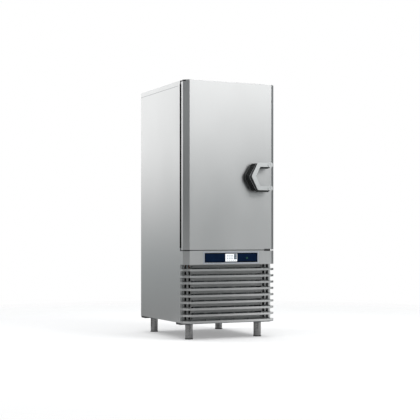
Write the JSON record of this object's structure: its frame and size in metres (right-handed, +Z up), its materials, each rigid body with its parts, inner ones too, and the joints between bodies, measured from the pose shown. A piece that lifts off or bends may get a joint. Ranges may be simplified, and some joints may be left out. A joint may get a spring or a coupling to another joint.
{
  "type": "blast chiller",
  "caption": "Tall steel blast chiller: insulated chamber with tray runners behind one bevelled door, touch panel, louvred machine compartment, round legs.",
  "frame": {"origin": "on the floor, under the middle of the machine's width and depth", "axes": "+X to the machine's right seen from the front, +Y from the door to the back, +Z up"},
  "size_m": [0.79, 1.019, 2.005],
  "materials": {
    "brushed_panel": "vertically brushed stainless steel, fine grain",
    "brushed_door": "vertically brushed stainless steel, fine grain",
    "dull_steel": "plain stainless sheet with a dull mill finish",
    "bright_steel": "satin stainless steel, bright edges",
    "foot_steel": "brushed stainless tube, darker grey",
    "insulation_foam": "rigid polyurethane foam, cut faces",
    "gasket_rubber": "black soft vinyl gasket",
    "grip_plastic": "black moulded plastic, fine texture",
    "black_plastic": "black moulded plastic",
    "bush_plastic": "black nylon",
    "bezel_metal": "satin anodised rim",
    "panel_glass": "dark blue gloss touch panel",
    "screen": "white display, lit",
    "lamp_green": "green light, lit",
    "coil_fins": "thin aluminium fins",
    "fan_plastic": "black fan blades",
    "motor_paint": "dark painted casting",
    "compressor_paint": "black gloss paint",
    "rubber_mount": "black rubber",
    "copper": "copper pipe, slightly dulled",
    "box_grey": "grey enclosure plastic",
    "drain_plastic": "dark grey pipe plastic",
    "chamber_steel": "smooth stainless lining"
  },
  "bodies": {
    "cabinet": {"side_panel_left": "brushed_panel", "side_panel_right": "brushed_panel", "back_panel": "brushed_panel", "top_cover": "brushed_panel", "insulation": "insulation_foam", "chamber_liner": "chamber_steel", "front_frame": "brushed_panel", "base_frame": "dull_steel", "legs": "foot_steel", "hinge_bracket_top": "dull_steel", "hinge_bracket_bottom": "dull_steel", "door_switch": "black_plastic", "closing_ramp": "black_plastic", "control_fascia": "brushed_door", "control_bezel": "bezel_metal", "touch_glass": "panel_glass", "display_screen": "screen", "status_light": "lamp_green", "control_housing": "black_plastic", "grille_core": "dull_steel", "grille_slats": "bright_steel", "grille_screws": "black_plastic", "condenser_coil": "coil_fins", "condenser_shroud": "dull_steel", "condenser_fan_motor": "motor_paint", "compressor": "compressor_paint", "compressor_mounts": "rubber_mount", "liquid_receiver": "compressor_paint", "refrigerant_pipes": "copper", "electrical_box": "box_grey", "mains_gland": "black_plastic", "drain_pipe": "drain_plastic", "evaporator_coil": "coil_fins", "fan_panel": "chamber_steel", "fan_guards": "chamber_steel", "fan_motors": "motor_paint", "rack_uprights": "chamber_steel", "tray_runners_left": "chamber_steel", "tray_runners_right": "chamber_steel", "probe_socket": "black_plastic"},
    "door": {"door_skin": "brushed_door", "door_pan": "chamber_steel", "door_foam": "insulation_foam", "door_end_caps": "brushed_door", "door_gasket": "gasket_rubber", "hinge_bushes": "bush_plastic", "door_magnet": "black_plastic", "handle_grip": "grip_plastic", "handle_plate": "bright_steel", "handle_posts": "bright_steel", "handle_caps": "bright_steel"},
    "foot_front_left": {"foot_front_left": "foot_steel"},
    "foot_front_right": {"foot_front_right": "foot_steel"},
    "foot_rear_left": {"foot_rear_left": "foot_steel"},
    "foot_rear_right": {"foot_rear_right": "foot_steel"},
    "condenser_fan": {"condenser_fan": "fan_plastic"},
    "fan_top": {"fan_top": "fan_plastic"},
    "fan_middle": {"fan_middle": "fan_plastic"},
    "fan_bottom": {"fan_bottom": "fan_plastic"}
  },
  "joints": [
    {"name": "door_hinge", "type": "hinge", "parent": "cabinet", "child": "door", "pos_m": [-0.377, -0.3875, 1.351], "axis": [0, 0, -1], "range_deg": [0, 110]},
    {"name": "fan_top_spin", "type": "hinge", "parent": "cabinet", "child": "fan_top", "pos_m": [0, 0.1425, 1.71412], "axis": [0, 1, 0], "continuous": true},
    {"name": "fan_middle_spin", "type": "hinge", "parent": "cabinet", "child": "fan_middle", "pos_m": [0, 0.1425, 1.346], "axis": [0, 1, 0], "continuous": true},
    {"name": "fan_bottom_spin", "type": "hinge", "parent": "cabinet", "child": "fan_bottom", "pos_m": [0, 0.1425, 0.97788], "axis": [0, 1, 0], "continuous": true},
    {"name": "condenser_fan_spin", "type": "hinge", "parent": "cabinet", "child": "condenser_fan", "pos_m": [0, -0.1513, 0.3617], "axis": [0, 1, 0], "continuous": true},
    {"name": "foot_front_left_screw", "type": "slide", "parent": "cabinet", "child": "foot_front_left", "axis": [0, 0, -1], "range_m": [0, 0.03]},
    {"name": "foot_front_right_screw", "type": "slide", "parent": "cabinet", "child": "foot_front_right", "axis": [0, 0, -1], "range_m": [0, 0.03]},
    {"name": "foot_rear_left_screw", "type": "slide", "parent": "cabinet", "child": "foot_rear_left", "axis": [0, 0, -1], "range_m": [0, 0.03]},
    {"name": "foot_rear_right_screw", "type": "slide", "parent": "cabinet", "child": "foot_rear_right", "axis": [0, 0, -1], "range_m": [0, 0.03]}
  ]
}
